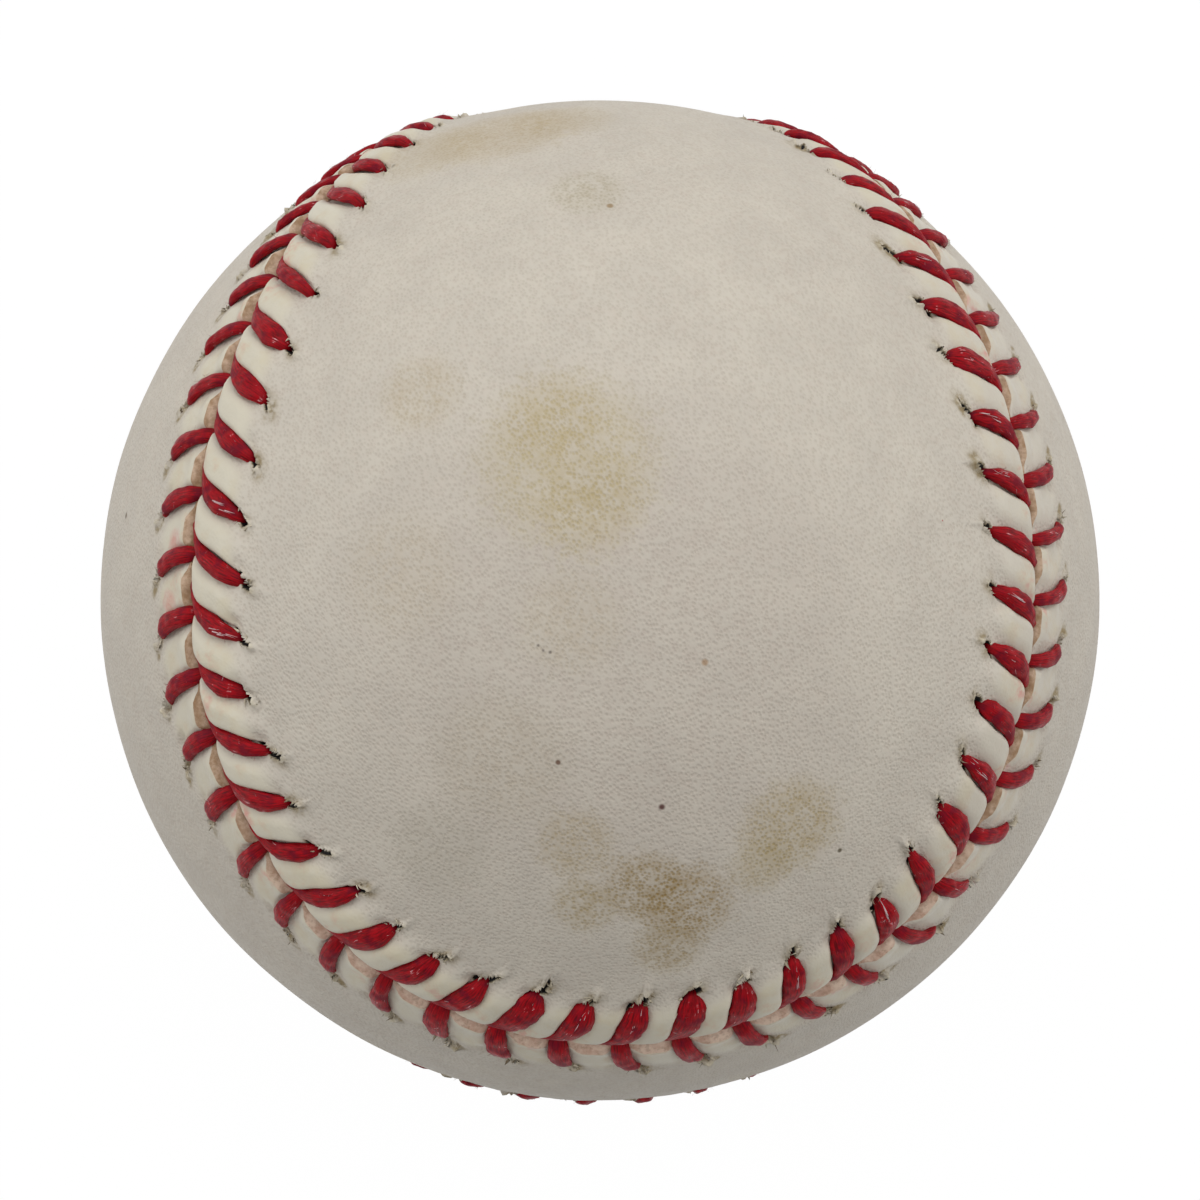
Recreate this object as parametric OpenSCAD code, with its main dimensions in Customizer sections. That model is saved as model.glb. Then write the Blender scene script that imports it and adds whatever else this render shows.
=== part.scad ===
// A hand-stitched baseball: two figure-8 leather panels laced edge to edge over a wound core.
// Millimetres. The origin is the ball's centre. +Z leaves through the middle of one lobe of
// panel A, and Y is the twofold axis of the seam, with panel A's waist at +Y and panel B's at -Y.

/* [Cover] */
// Radius over the leather, away from the seam
ball_r = 36.8; // [36.4:0.1:37.4]
// Thickness of the leather
leather_t = 1.2; // [1.1:0.05:1.3]
// Thickness of the cement between the windings and the leather
cement_t = 0.1; // [0.05:0.01:0.15]

/* [Seam] */
// Number of double stitches round the seam
stitch_pairs = 108; // [106:2:110]
// Strength of the seam's third harmonic, which narrows the waists of the panels
seam_wave = 0.553; // [0.52:0.001:0.57]
// Reach of the lobe tips along Y, which lengthens the lobes
seam_reach = 1.276; // [1.24:0.001:1.32]
// Distance from the middle of the seam to each row of stitch holes
hole_offset = 4.8; // [4.6:0.05:5]
// Radius of a stitch hole
hole_r = 0.5; // [0.46:0.01:0.55]
// Half the gap between the two leather edges
gap_half = 0.45; // [0.4:0.01:0.5]
// How far the thread lifts the leather along the seam
edge_lift = 0.8; // [0.78:0.01:0.85]
// Extra height of the puckers between the stitches
pucker_rise = 0.55; // [0.3:0.05:0.6]
// How far the stitch holes bunch towards the tips of the lobes, in stitches
hole_drift = 0.13; // [0:0.01:0.2]

/* [Thread] */
// Half the width of the flattened thread where it shows
thread_half_w = 0.75; // [0.5:0.01:0.8]
// Half the thickness of the thread
thread_half_t = 0.33; // [0.28:0.01:0.34]
// How far ahead of its hole panel A's thread enters the seam, in stitches
lead_a = 0.6; // [0.57:0.01:0.64]
// How far ahead of its hole panel B's thread enters the seam, in stitches
lead_b = 0.32; // [0.28:0.01:0.34]

/* [Core] */
// Radius of the cork composition nucleus
cork_r = 10.3; // [9.8:0.1:10.8]
// Thickness of the two black rubber shells
black_rubber_t = 4; // [3.6:0.1:4.2]
// Thickness of the washer between the black shells
washer_t = 0.8; // [0.6:0.1:1.2]
// Thickness of the red rubber layer
red_rubber_t = 2.4; // [2:0.1:2.6]
// Radius over the first winding, of four-ply gray wool
winding_1_r = 31.2; // [30.8:0.1:31.6]
// Radius over the second winding, of three-ply white wool
winding_2_r = 33; // [32.6:0.1:33.4]
// Thickness of the finishing winding, of white poly-cotton
finish_t = 0.45; // [0.3:0.05:0.6]

/* [Hidden] */
$fn = 96;

side_a = 1;
side_b = -1;
inner_r = ball_r - leather_t;
finish_r = inner_r - cement_t;
winding_3_r = finish_r - finish_t;
black_r = cork_r + black_rubber_t;
pill_r = black_r + red_rubber_t;

// The lobe tips of panel A and of panel B, as shares of the seam's length
tip_a = 7 / 8;
tip_b = 1 / 8;

// The smooth middle of a panel stops edge_w from the seam. The raised edge reaches past that
// by the tongue, a little below the smooth face and above the inner one.
edge_w = 7;
tongue = 0.2;
flush = 0.05;
wedge_r = 1.5 * ball_r;
wedge_steps = 2 * stitch_pairs;
edge_columns = 2 * stitch_pairs;
underside_r = inner_r + edge_lift;
valley = 0.15;

// Under the leather the thread lies on the cement, and over it in the valley between two puckers.
// It bends over a shoulder at its hole and another where it dives into the seam.
thread_clear = 0.04;
thread_lift = 0.1;
thread_under_r = inner_r + thread_half_t + thread_clear;
thread_over_r = ball_r + valley + thread_half_t + thread_lift;
shoulder_drop = 0.1;
hole_lean = 0.1;
dive_start = 0.2;
thread_sides = 5;

// The seam curve on the unit sphere. One turn of t goes once round the ball.
function unit(v) = v / norm(v);
function seam_at(t) =
    let (x = cos(t) + seam_wave * cos(3 * t),
         y = sin(t) - seam_wave * sin(3 * t))
    unit([-(x + y) / sqrt(2), seam_reach * sin(2 * t), (x - y) / sqrt(2)]);

// Rows of [length from the start, t], which turn a share of the seam's length into t
arc_steps = 720;
arc_step = 360 / arc_steps;
arc_table = [for (i = 0, run = 0; i <= arc_steps;
                  run = run + norm(seam_at((i + 1) * arc_step) - seam_at(i * arc_step)), i = i + 1)
             [run, i * arc_step]];
seam_length = arc_table[arc_steps][0];
function turn_at(share) = lookup((share - floor(share)) * seam_length, arc_table);

// Directions at a share of the seam: outwards, along the seam, and across it towards panel A
function outward(share) = seam_at(turn_at(share));
function along(share) =
    let (t = turn_at(share), nudge = 0.5)
    unit(seam_at(t + nudge) - seam_at(t - nudge));
function across(share) = cross(along(share), outward(share));

// A point at radius r, w to the side of the seam, positive on panel A
function degrees_on_ball(w) = w / ball_r * 180 / PI;
function seam_point(share, w, r) =
    r * (cos(degrees_on_ball(w)) * outward(share) + sin(degrees_on_ball(w)) * across(share));

// The stitches. A count of stitches becomes a share of the seam.
function lead(side) = side == side_a ? lead_a : lead_b;
function hole_share(k, side) =
    let (share = k / stitch_pairs)
    share - side * hole_drift * cos(720 * share) / stitch_pairs;
function entry_share(k, side) = (k + lead(side)) / stitch_pairs;

// A share on the slanting line from hole k to its entry in the seam, w to the side
function slant_share(k, side, w) =
    let (mix = min(w / hole_offset, 1))
    hole_share(k, side) * mix + entry_share(k, side) * (1 - mix);

// The cone from the ball's centre through a panel's outline, w inside the seam
module panel_wedge(side, tip, w) {
    rim = [for (i = [0:wedge_steps - 1])
           wedge_r * unit(seam_point(tip + i / wedge_steps, side * w, 1))];
    last = wedge_steps - 1;
    half = wedge_steps / 2;
    walls = [for (i = [0:last]) [wedge_steps, (i + 1) % wedge_steps, i]];
    cap = [for (i = [1:half - 2]) [i, i + 1, last - i, wedge_steps - i]];
    cap_ends = [[0, 1, last], [half - 1, half, half + 1]];
    polyhedron(points = concat(rim, [[0, 0, 0]]),
               faces = facing(concat(walls, cap, cap_ends), side == side_a),
               convexity = 6);
}

// Faces as they are, or turned over
function reverse(list) = [for (i = [len(list) - 1:-1:0]) list[i]];
function facing(faces, as_is) = as_is ? faces : [for (f = faces) reverse(f)];

// The smooth middle of a panel: a true spherical shell
module panel_middle(side, tip) {
    intersection() {
        hollow_ball(ball_r, inner_r);
        panel_wedge(side, tip, edge_w);
    }
}

// One corner of the raised edge: [w, height over the smooth leather, share of the pucker's rise]
edge_profile = [
    [gap_half, underside_r - ball_r, 0],
    [gap_half, 0, 0.6],
    [1.4, valley, 1],
    [3.6, valley, 1],
    [5.6, 0.1, 0.3],
    [edge_w + tongue, -flush, 0],
    [edge_w + tongue, flush - leather_t, 0],
    [5.6, underside_r - ball_r, 0],
];

// The edge of a panel, lifted by the thread and puckered between the stitches.
// Every even column lies in a valley under a stitch and every odd one along a crest.
module panel_edge(side) {
    n = len(edge_profile);
    points = [for (column = [0:edge_columns - 1], corner = edge_profile)
              let (crest = column % 2)
              seam_point(slant_share(column / 2, side, corner[0]), side * corner[0],
                         ball_r + corner[1] + crest * corner[2] * pucker_rise)];
    faces = [for (c = [0:edge_columns - 1], i = [0:n - 1])
             let (d = (c + 1) % edge_columns, j = (i + 1) % n)
             for (half = [[c * n + i, c * n + j, d * n + j], [c * n + i, d * n + j, d * n + i]])
             half];
    polyhedron(points = points, faces = facing(faces, side == side_b), convexity = 8);
}

module stitch_hole(k, side) {
    middle = seam_point(hole_share(k, side), side * hole_offset, 1);
    tilt = acos(middle[2]);
    turn = atan2(middle[1], middle[0]);
    rotate([0, tilt, turn])
        translate([0, 0, inner_r - 1])
            cylinder(h = leather_t + 4, r = hole_r, $fn = 24);
}

module cover_panel(side, tip) {
    color([0.85, 0.82, 0.75])
        difference() {
            union() {
                panel_middle(side, tip);
                panel_edge(side);
            }
            for (k = [0:stitch_pairs - 1])
                stitch_hole(k, side);
        }
}

// One stitch of a strand, as rings of [share, w, radius, half width]:
// up through its hole, over the leather, down the seam and under the other panel.
function stitch_rings(k, side) =
    let (hole = hole_share(k, side),
         entry = entry_share(k, side),
         next_hole = hole_share(k + 1, -side))
    [[hole, side * hole_offset, thread_under_r, thread_half_t],
     [hole, side * (hole_offset - hole_lean), thread_over_r - shoulder_drop, thread_half_t],
     [(hole + entry) / 2, side * hole_offset / 2, thread_over_r, thread_half_w],
     [entry, side * dive_start, thread_over_r - shoulder_drop, thread_half_t],
     [entry, 0, thread_under_r, thread_half_t],
     [(entry + next_hole) / 2, -side * hole_offset / 2, thread_under_r, thread_half_t]];

// A strand changes sides at every stitch. The two ends are tucked under the leather.
module thread_strand(first_side) {
    rings = [for (k = [0:stitch_pairs - 1])
             let (side = k % 2 == 0 ? first_side : -first_side)
             for (ring = stitch_rings(k, side)) ring];
    count = len(rings);
    centres = [for (ring = rings) seam_point(ring[0], ring[1], ring[2])];
    points = [for (i = [0:count - 1])
              let (ring = rings[i],
                   heading = unit(centres[min(i + 1, count - 1)] - centres[max(i - 1, 0)]),
                   seamward = along(ring[0]),
                   wide = unit(seamward - (seamward * heading) * heading),
                   deep = cross(heading, wide))
              for (a = [0:thread_sides - 1])
                  centres[i] + ring[3] * cos(a * 360 / thread_sides) * wide
                             + thread_half_t * sin(a * 360 / thread_sides) * deep];
    walls = [for (i = [0:count - 2], a = [0:thread_sides - 1])
             let (b = (a + 1) % thread_sides, here = i * thread_sides, there = here + thread_sides)
             for (half = [[here + a, there + a, there + b], [here + a, there + b, here + b]])
             half];
    start = [for (a = [0:thread_sides - 1]) a];
    end = [for (a = [thread_sides - 1:-1:0]) (count - 1) * thread_sides + a];
    color([0.72, 0.06, 0.12])
        polyhedron(points = points, faces = concat(walls, [start, end]), convexity = 8);
}

// A spherical layer of the core
module hollow_ball(outer, inner) {
    difference() {
        sphere(r = outer);
        sphere(r = inner);
    }
}

module cork_nucleus() {
    color([0.72, 0.53, 0.34])
        sphere(r = cork_r);
}

// Half of the black rubber, over the washer. The lower half is the same shape turned over.
module black_rubber_shell() {
    color([0.09, 0.09, 0.1])
        intersection() {
            hollow_ball(black_r, cork_r);
            translate([-black_r - 1, -black_r - 1, washer_t / 2])
                cube([2 * black_r + 2, 2 * black_r + 2, black_r + 1]);
        }
}

module red_rubber_washer() {
    color([0.7, 0.12, 0.1])
        intersection() {
            hollow_ball(black_r, cork_r);
            cylinder(h = washer_t, r = black_r + 1, center = true);
        }
}

module red_rubber_layer() {
    color([0.62, 0.1, 0.09])
        hollow_ball(pill_r, black_r);
}

module winding(outer, inner, shade) {
    color(shade)
        hollow_ball(outer, inner);
}

gray_wool = [0.56, 0.56, 0.54];
white_wool = [0.9, 0.88, 0.82];
white_cotton = [0.93, 0.92, 0.88];
cement = [0.82, 0.76, 0.6];

cork_nucleus();
black_rubber_shell();  // black_rubber_shell_upper
rotate([180, 0, 0]) black_rubber_shell();  // black_rubber_shell_lower
red_rubber_washer();
red_rubber_layer();
winding(winding_1_r, pill_r, gray_wool);  // winding_gray_inner
winding(winding_2_r, winding_1_r, white_wool);  // winding_white
winding(winding_3_r, winding_2_r, gray_wool);  // winding_gray_outer
winding(finish_r, winding_3_r, white_cotton);  // winding_finish
winding(inner_r, finish_r, cement);  // cement_coat
cover_panel(side_a, tip_a);  // cover_panel_a
cover_panel(side_b, tip_b);  // cover_panel_b
thread_strand(side_a);  // thread_strand_a
thread_strand(side_b);  // thread_strand_b
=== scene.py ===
"""A hand-stitched baseball: leather panels, waxed thread and everything under them.

Sizes are in millimetres while a shape is worked out, and in metres once it is a mesh.
The seam, its count of stitches and its two sides are the same as in part.scad:
side +1 is panel A, side -1 is panel B, and a share is a place along the seam, from 0 to 1.
"""

from math import pi, radians

import bpy
import numpy as np
from mathutils import Matrix, Vector

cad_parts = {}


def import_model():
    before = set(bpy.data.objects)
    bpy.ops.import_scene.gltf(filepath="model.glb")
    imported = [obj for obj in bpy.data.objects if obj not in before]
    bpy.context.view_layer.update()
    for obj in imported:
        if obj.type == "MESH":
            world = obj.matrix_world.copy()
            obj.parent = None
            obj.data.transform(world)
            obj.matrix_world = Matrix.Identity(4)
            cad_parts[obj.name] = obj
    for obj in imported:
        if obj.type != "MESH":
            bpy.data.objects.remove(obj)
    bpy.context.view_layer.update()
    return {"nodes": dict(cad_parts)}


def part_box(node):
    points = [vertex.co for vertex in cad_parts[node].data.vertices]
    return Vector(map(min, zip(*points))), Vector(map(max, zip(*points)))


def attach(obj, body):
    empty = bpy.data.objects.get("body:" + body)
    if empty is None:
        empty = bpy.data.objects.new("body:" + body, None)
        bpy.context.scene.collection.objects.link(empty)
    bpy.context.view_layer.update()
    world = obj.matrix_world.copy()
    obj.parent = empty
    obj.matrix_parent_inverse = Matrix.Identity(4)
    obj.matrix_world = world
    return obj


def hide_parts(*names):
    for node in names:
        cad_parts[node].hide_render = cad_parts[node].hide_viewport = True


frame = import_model()

MM = 0.001
SIDE_A = 1
SIDE_B = -1

# The ball and its seam curve, as in part.scad
BALL_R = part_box("cover_panel_a")[1].z / MM
CEMENT_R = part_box("cement_coat")[1].z / MM
SEAM_WAVE = 0.553
SEAM_REACH = 1.276
STITCHES = 108
# How far the CAD's holes are from the seam, and how they drift along it, in stitches
HOLE_W = 4.8
HOLE_DRIFT = 0.13
# The share at the tip of one lobe of each panel
TIP = {SIDE_A: 7 / 8, SIDE_B: 1 / 8}
PANEL_NAME = {SIDE_A: "a", SIDE_B: "b"}

# Heights over the smooth ball: under the leather's edge, beside the holes and in the creases
UNDERSIDE = CEMENT_R - BALL_R + 0.8
SHOULDER = 0.16
VALLEY = 0.1
# The radius of the leather's inside, and how far from the seam the leather begins to rise and
# the mesh is fully bunched at the stitches
LINING_R = CEMENT_R + 0.02
LIFT_FROM = 8.5
BUNCHED_FROM = 5.6
# How uneven the leather's skin is, and how deep its holes go
SKIN = 0.04
PIT_DEPTH = 0.78
# How far ahead of a stitch its crease is, in stitches, at these distances from the seam
CREASE_W = (0, 0.42, 0.95, 1.65, 2.45, 3.3, 4.15, 4.8, 5.5)
CREASE = {
    SIDE_A: (0.13, 0.155, 0.18, 0.21, 0.23, 0.22, 0.185, 0.15, 0.12),
    SIDE_B: (0.13, 0.15, 0.175, 0.18, 0.18, 0.175, 0.16, 0.14, 0.12),
}
# How the worn ball differs along its seam, at these stitch counts and smoothly between them
WEAR_K = (0, 58, 68, 84, 88, 92, 97, 101, 108)
# How much further back panel B's edge stands
WEAR_GAP = (0, 0, -0.22, -0.22, 0, 0.34, 0.34, 0, 0)
# How wide the stitches of each side are pulled, against those of STITCH_PATH
WEAR_WIDTH = {
    SIDE_A: (0.78, 0.88, 0.84, 0.84, 0.93, 1.04, 1.04, 0.88, 0.78),
    SIDE_B: (0.86, 0.95, 0.8, 0.76, 0.9, 1.04, 1.04, 0.92, 0.86),
}
# How high the puckers rise, against those of a new ball
WEAR_RISE = (1, 1, 0.76, 0.74, 0.85, 1, 1, 1, 1)
# How much further forward panel A's stitches run into the seam, in stitches
WEAR_SLANT = (0.28, 0, 0, 0, 0, 0, 0, 0.14, 0.28)
# How much further back along the seam panel B's stitches sit, in stitches
WEAR_LAG = (0.15, 0, 0, 0, 0, 0, 0, 0.08, 0.15)
# How torn the leather is round its holes
WEAR_TEAR = (1.1, 1, 1, 1, 1.4, 1.9, 1.9, 1.4, 1.1)

# Where the pulled thread has left the worn ball's holes, and how far they spread from there
HOLE_AT = {SIDE_A: 4.48, SIDE_B: 4.24}
HOLE_SPREAD = 0.2
# What is usual at a stitch of each panel: how high its pucker rises, how far ahead of it its
# hole is, how that hole slants, its half length and half width, and how soiled it is
USUAL = {
    SIDE_A: {"rise": 0.7, "ahead": 0.12, "slant": 0.5, "length": 0.82, "width": 0.42, "soiled": 0.5},
    SIDE_B: {"rise": 0.5, "ahead": -0.02, "slant": 0.3, "length": 0.5, "width": 0.36, "soiled": 1.1},
}
# The soil at a hole: how far its middle is behind the hole and outwards of it, and how far it
# spreads along the seam and across it
SOIL = {SIDE_A: (0, 0.45, 0.95, 0.8), SIDE_B: (0.3, 0.3, 0.55, 0.55)}

# The mesh runs round the seam in columns
COLUMNS_PER_STITCH = 18
COLUMNS = STITCHES * COLUMNS_PER_STITCH

# How far a stitch has run forward when it reaches the seam, and how much further panel A's
# stitches turn forward as they enter it, in stitches
STITCH_RUN = {SIDE_A: 0.42, SIDE_B: 0.4}
TURN_IN = 0.32

THREAD_SIDES = 18
RINGS_PER_STITCH = 46
PLIES = 5
# How far the plies turn round the thread, in radians for each millimetre of it
PLY_TWIST = 0.22

rng = np.random.default_rng(1903)


def unit(v):
    return v / np.linalg.norm(v, axis=-1, keepdims=True)


def smooth(low, high, x):
    """0 below low, 1 above high, and an easy curve between."""
    t = np.clip((x - low) / (high - low), 0, 1)
    return t * t * (3 - 2 * t)


# The seam curve


def seam_at(turn):
    x = np.cos(turn) + SEAM_WAVE * np.cos(3 * turn)
    y = np.sin(turn) - SEAM_WAVE * np.sin(3 * turn)
    z = SEAM_REACH * np.sin(2 * turn)
    return unit(np.stack([-(x + y) / np.sqrt(2), z, (x - y) / np.sqrt(2)], -1))


TURNS = np.linspace(0, 2 * pi, 7201)
RUN = np.concatenate([[0], np.cumsum(np.linalg.norm(np.diff(seam_at(TURNS), axis=0), axis=1))])
SEAM_LENGTH = RUN[-1] * BALL_R
PITCH = SEAM_LENGTH / STITCHES


def directions(share):
    """Outwards, along the seam, and across it towards panel A, at each share."""
    turn = np.interp(np.mod(share, 1), RUN / RUN[-1], TURNS)
    nudge = radians(0.5)
    outward = seam_at(turn)
    along = unit(seam_at(turn + nudge) - seam_at(turn - nudge))
    return outward, along, np.cross(along, outward)


def seam_point(share, w, height):
    """Points w to the side of the seam, positive on panel A, and height over the smooth ball."""
    outward, _, across = directions(share)
    angle = (w / BALL_R)[..., None]
    return (BALL_R + height)[..., None] * (np.cos(angle) * outward + np.sin(angle) * across)


# The stitches. Stitch k of each side starts at its hole and runs forward into the seam.


def worn(values, k):
    """A difference of the worn ball at stitch k."""
    return np.interp(np.mod(k, STITCHES), WEAR_K, values)


def hole_share(k, side):
    share = k / STITCHES
    share = share - side * HOLE_DRIFT * np.cos(4 * pi * share) / STITCHES
    if side == SIDE_B:
        share = share - worn(WEAR_LAG, k) / STITCHES
    return share


def advance(side, w, k):
    """How far stitch k has run forward where it is w from the seam, in stitches."""
    m = np.clip(w / HOLE_W, 0, 1)
    if side == SIDE_B:
        return STITCH_RUN[side] * (1 - m**3)
    turn_in = TURN_IN * np.exp(-m / 0.08)
    return (STITCH_RUN[side] + worn(WEAR_SLANT, k)) * (1 - m) + turn_in


def width_at(side, k):
    """How wide the stitches of a side are at stitch k, against those of STITCH_PATH."""
    return worn(WEAR_WIDTH[side], k)


def per_stitch(spread):
    """One random value for each stitch."""
    return rng.normal(0, spread, STITCHES)


# How much further out than HOLE_AT each hole is, with its stitch
REACH = {side: per_stitch(HOLE_SPREAD) for side in (SIDE_A, SIDE_B)}


def blended(values, k):
    """The values of the stitches, carried smoothly from each stitch to the next."""
    low = np.floor(k).astype(int)
    t = smooth(0, 1, k - low)
    return values[low % STITCHES] * (1 - t) + values[(low + 1) % STITCHES] * t


def waves(wavelength, count=9):
    """A smooth random field in space, from -1 to 1 or so, as a sum of plane waves."""
    ways = unit(rng.normal(size=(count, 3)))
    numbers = 2 * pi / (wavelength * rng.uniform(0.7, 1.4, count))
    phases = rng.uniform(0, 2 * pi, count)

    def field(points):
        total = np.sin(points @ (ways * numbers[:, None]).T + phases).sum(-1)
        return total / np.sqrt(count / 2) / 2

    return field


# Meshes


def new_object(name, points, faces, material, smooth_faces=True):
    """A mesh object from points in millimetres."""
    mesh = bpy.data.meshes.new(name)
    mesh.from_pydata((np.asarray(points) * MM).tolist(), [], faces)
    mesh.materials.append(material)
    if smooth_faces:
        mesh.shade_smooth()
    else:
        mesh.shade_flat()
    mesh.update()
    piece = bpy.data.objects.new(name, mesh)
    bpy.context.scene.collection.objects.link(piece)
    return piece


def add_values(piece, name, values):
    """A number at each point of a mesh, which its material reads."""
    layer = piece.data.attributes.new(name, "FLOAT", "POINT")
    layer.data.foreach_set("value", np.asarray(values, np.float32))


def ring_quads(rows, columns):
    """Quads between rows of points that each go round a closed loop."""
    row = np.arange(rows - 1)[:, None] * columns
    next_row = row + columns
    here = np.arange(columns)[None, :]
    beside = (here + 1) % columns
    quads = np.stack([row + here, next_row + here, next_row + beside, row + beside], -1)
    return quads.reshape(-1, 4)


# The leather panels

# The numbers that the leather's material reads at each point: how deep in a hole, which also sets
# the painted shade inside it, how far up a torn rim, how soiled, how high on a pucker, whether it is
# cut or inside, how far from the seam
LEATHER_VALUES = ("pit_and_painted_shade", "rim", "soil", "lobe", "raw", "seam_w")


def column_positions():
    """The stitch count of each column, evenly spaced and bunched at the stitches."""
    # How strongly the columns bunch, and where after a stitch they are closest
    bunching = 0.55
    closest = 0.1
    even = np.arange(COLUMNS) / COLUMNS_PER_STITCH
    bunched = even - bunching * np.sin(2 * pi * (even - closest)) / (2 * pi)
    return even, bunched


class Panel:
    """The shape of one panel's raised edge, by stitch count k and distance w from the seam."""

    def __init__(self, side):
        self.side = side
        usual = USUAL[side]
        self.rise = usual["rise"]
        self.lobe_size = 1 + per_stitch(0.09)
        self.lobe_edge = per_stitch(0.07)
        self.hole_w = HOLE_AT[side] + REACH[side] + per_stitch(0.06)
        self.hole_ahead = usual["ahead"] + per_stitch(0.06)
        self.hole_slant = usual["slant"] + per_stitch(0.2)
        size = width_at(side, np.arange(STITCHES)) * (1 + per_stitch(0.12))
        self.hole_length = usual["length"] * size
        self.hole_width = usual["width"] * size * (1 + per_stitch(0.12))
        tear = worn(WEAR_TEAR, np.arange(STITCHES))
        self.rim_height = 0.22 * (0.4 + 0.6 * tear) * (1 + per_stitch(0.35))
        self.soiled = np.clip(usual["soiled"] + per_stitch(0.3), 0.1, 1.3)
        self.rim_turn = rng.uniform(0, 2 * pi, STITCHES)
        self.pocket_depth = np.clip(0.26 + per_stitch(0.12), 0, 0.5)
        self.broad = waves(14)
        self.fine = waves(2.4, 14)
        self.torn = waves(0.6, 16)

    def skin(self, points):
        """How far the skin is from the smooth ball at points on it."""
        return SKIN * (self.broad(points) - 1)

    def top_radius(self, way):
        """The radius of the leather's outside in a direction, away from the seam."""
        return BALL_R + self.skin(way * BALL_R)

    def lining_radius(self, way):
        """The radius of the leather's inside in a direction."""
        return np.full(way.shape[:-1], LINING_R)

    def lobe(self, k, w):
        """0 in the crease beside a stitch and 1 on top of the pucker. It rises steeply, and
        runs down gently under the next stitch."""
        crease = np.interp(w, CREASE_W, CREASE[self.side]) * width_at(self.side, np.floor(k))
        part = np.mod(k - crease, 1)
        up = np.clip(part / 0.14, 0, 1)
        return np.sqrt(1 - (1 - up) ** 2) * (1 - smooth(0.38, 0.78, part))

    def edge_w(self, k):
        """Where the leather's edge stands, from the middle of the seam."""
        lobe = self.lobe(k, k * 0)
        wander = blended(self.lobe_edge, k)
        if self.side == SIDE_A:
            return 0.5 - 0.44 * smooth(0, 0.6, lobe) + wander * lobe
        return 0.36 + worn(WEAR_GAP, k) + 0.38 * smooth(0, 0.8, lobe) + wander

    def edge_radius(self, k):
        """The rounding of the leather's edge, on panel A tighter under the stitches."""
        if self.side == SIDE_A:
            return 0.25 + 0.32 * self.lobe(k, k * 0)
        return np.full(len(k), 0.2)

    def height(self, k, w):
        """The leather's height over the smooth ball, before its holes and its skin."""
        lobe = self.lobe(k, w)
        size = blended(self.lobe_size, k) * worn(WEAR_RISE, k)
        shoulder = SHOULDER * (1 - smooth(4.6, LIFT_FROM, w))
        inner = 1 - smooth(2.8, 5.6, w)
        if self.side == SIDE_B:
            inner = inner * (1 - 0.62 * smooth(1.0, 2.3, w))
        pucker = self.rise * size * lobe * inner * smooth(-1.5, 1.2, w)
        sink = (VALLEY - SHOULDER) * (1 - smooth(3.6, 5.0, w))
        return shoulder + pucker + sink - self.pocket(k, w)

    def pocket(self, k, w):
        """The small hollow that the pull of the thread leaves beside its hole."""
        at = np.floor(k).astype(int) % STITCHES
        x = ((k - np.floor(k)) * PITCH - 1.0) / 0.42
        y = (w - self.hole_w[at] + 0.25) / 0.5
        return self.pocket_depth[at] * np.exp(-(x**2) - y**2)

    def hole(self, k, w):
        """How deep in a stitch hole a point is, how far up its torn rim and how soiled."""
        nearest = np.round(k).astype(int) % STITCHES
        y = w - self.hole_w[nearest]
        x = (k - np.round(k)) * PITCH - self.hole_ahead[nearest] + self.hole_slant[nearest] * y
        lengthways = y / self.hole_length[nearest]
        # A hole narrows away from the seam
        widthways = x / self.hole_width[nearest] / (1 - 0.45 * smooth(-0.3, 0.9, lengthways))
        turn = np.arctan2(y, x)
        first = self.rim_turn[nearest]
        ragged = 1 + 0.2 * np.sin(3 * turn + first) + 0.12 * np.sin(7 * turn + 2 * first)
        reach = np.hypot(widthways, lengthways) / ragged
        pit_and_painted_shade = 1 - smooth(0.5, 1.15, reach)
        # The torn rim and its folds stand on the side away from the seam
        behind = smooth(-0.35, 0.4, y)
        rim = smooth(0.85, 1.15, reach) * (1 - smooth(1.2, 2.0, reach)) * behind
        folds = smooth(1.2, 1.6, reach) * (1 - smooth(1.9, 2.9, reach)) * behind
        rim = rim + 0.24 * folds * np.cos(8 * reach + first)
        back, out, along, across = SOIL[self.side]
        near = np.exp(-(((x + back) / along) ** 2) - ((y - out) / across) ** 2)
        return pit_and_painted_shade, rim, self.soiled[nearest] * near


def top_rows(panel, even, bunched):
    """[stitch count, w] for each row of columns, from the smooth middle to the leather's edge."""
    count = len(even)
    outer = np.concatenate([np.linspace(LIFT_FROM, BUNCHED_FROM, 5), np.linspace(5.45, 3.55, 15)])
    rows = []
    for w in outer:
        mix = 1 - smooth(BUNCHED_FROM, LIFT_FROM, np.full(count, w))
        rows.append((even * (1 - mix) + bunched * mix, np.full(count, w)))
    brink = panel.edge_w(bunched) + panel.edge_radius(bunched)
    for t in np.linspace(0, 1, 11)[1:]:
        rows.append((bunched, outer[-1] * (1 - t) + brink * t))
    return rows


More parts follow.
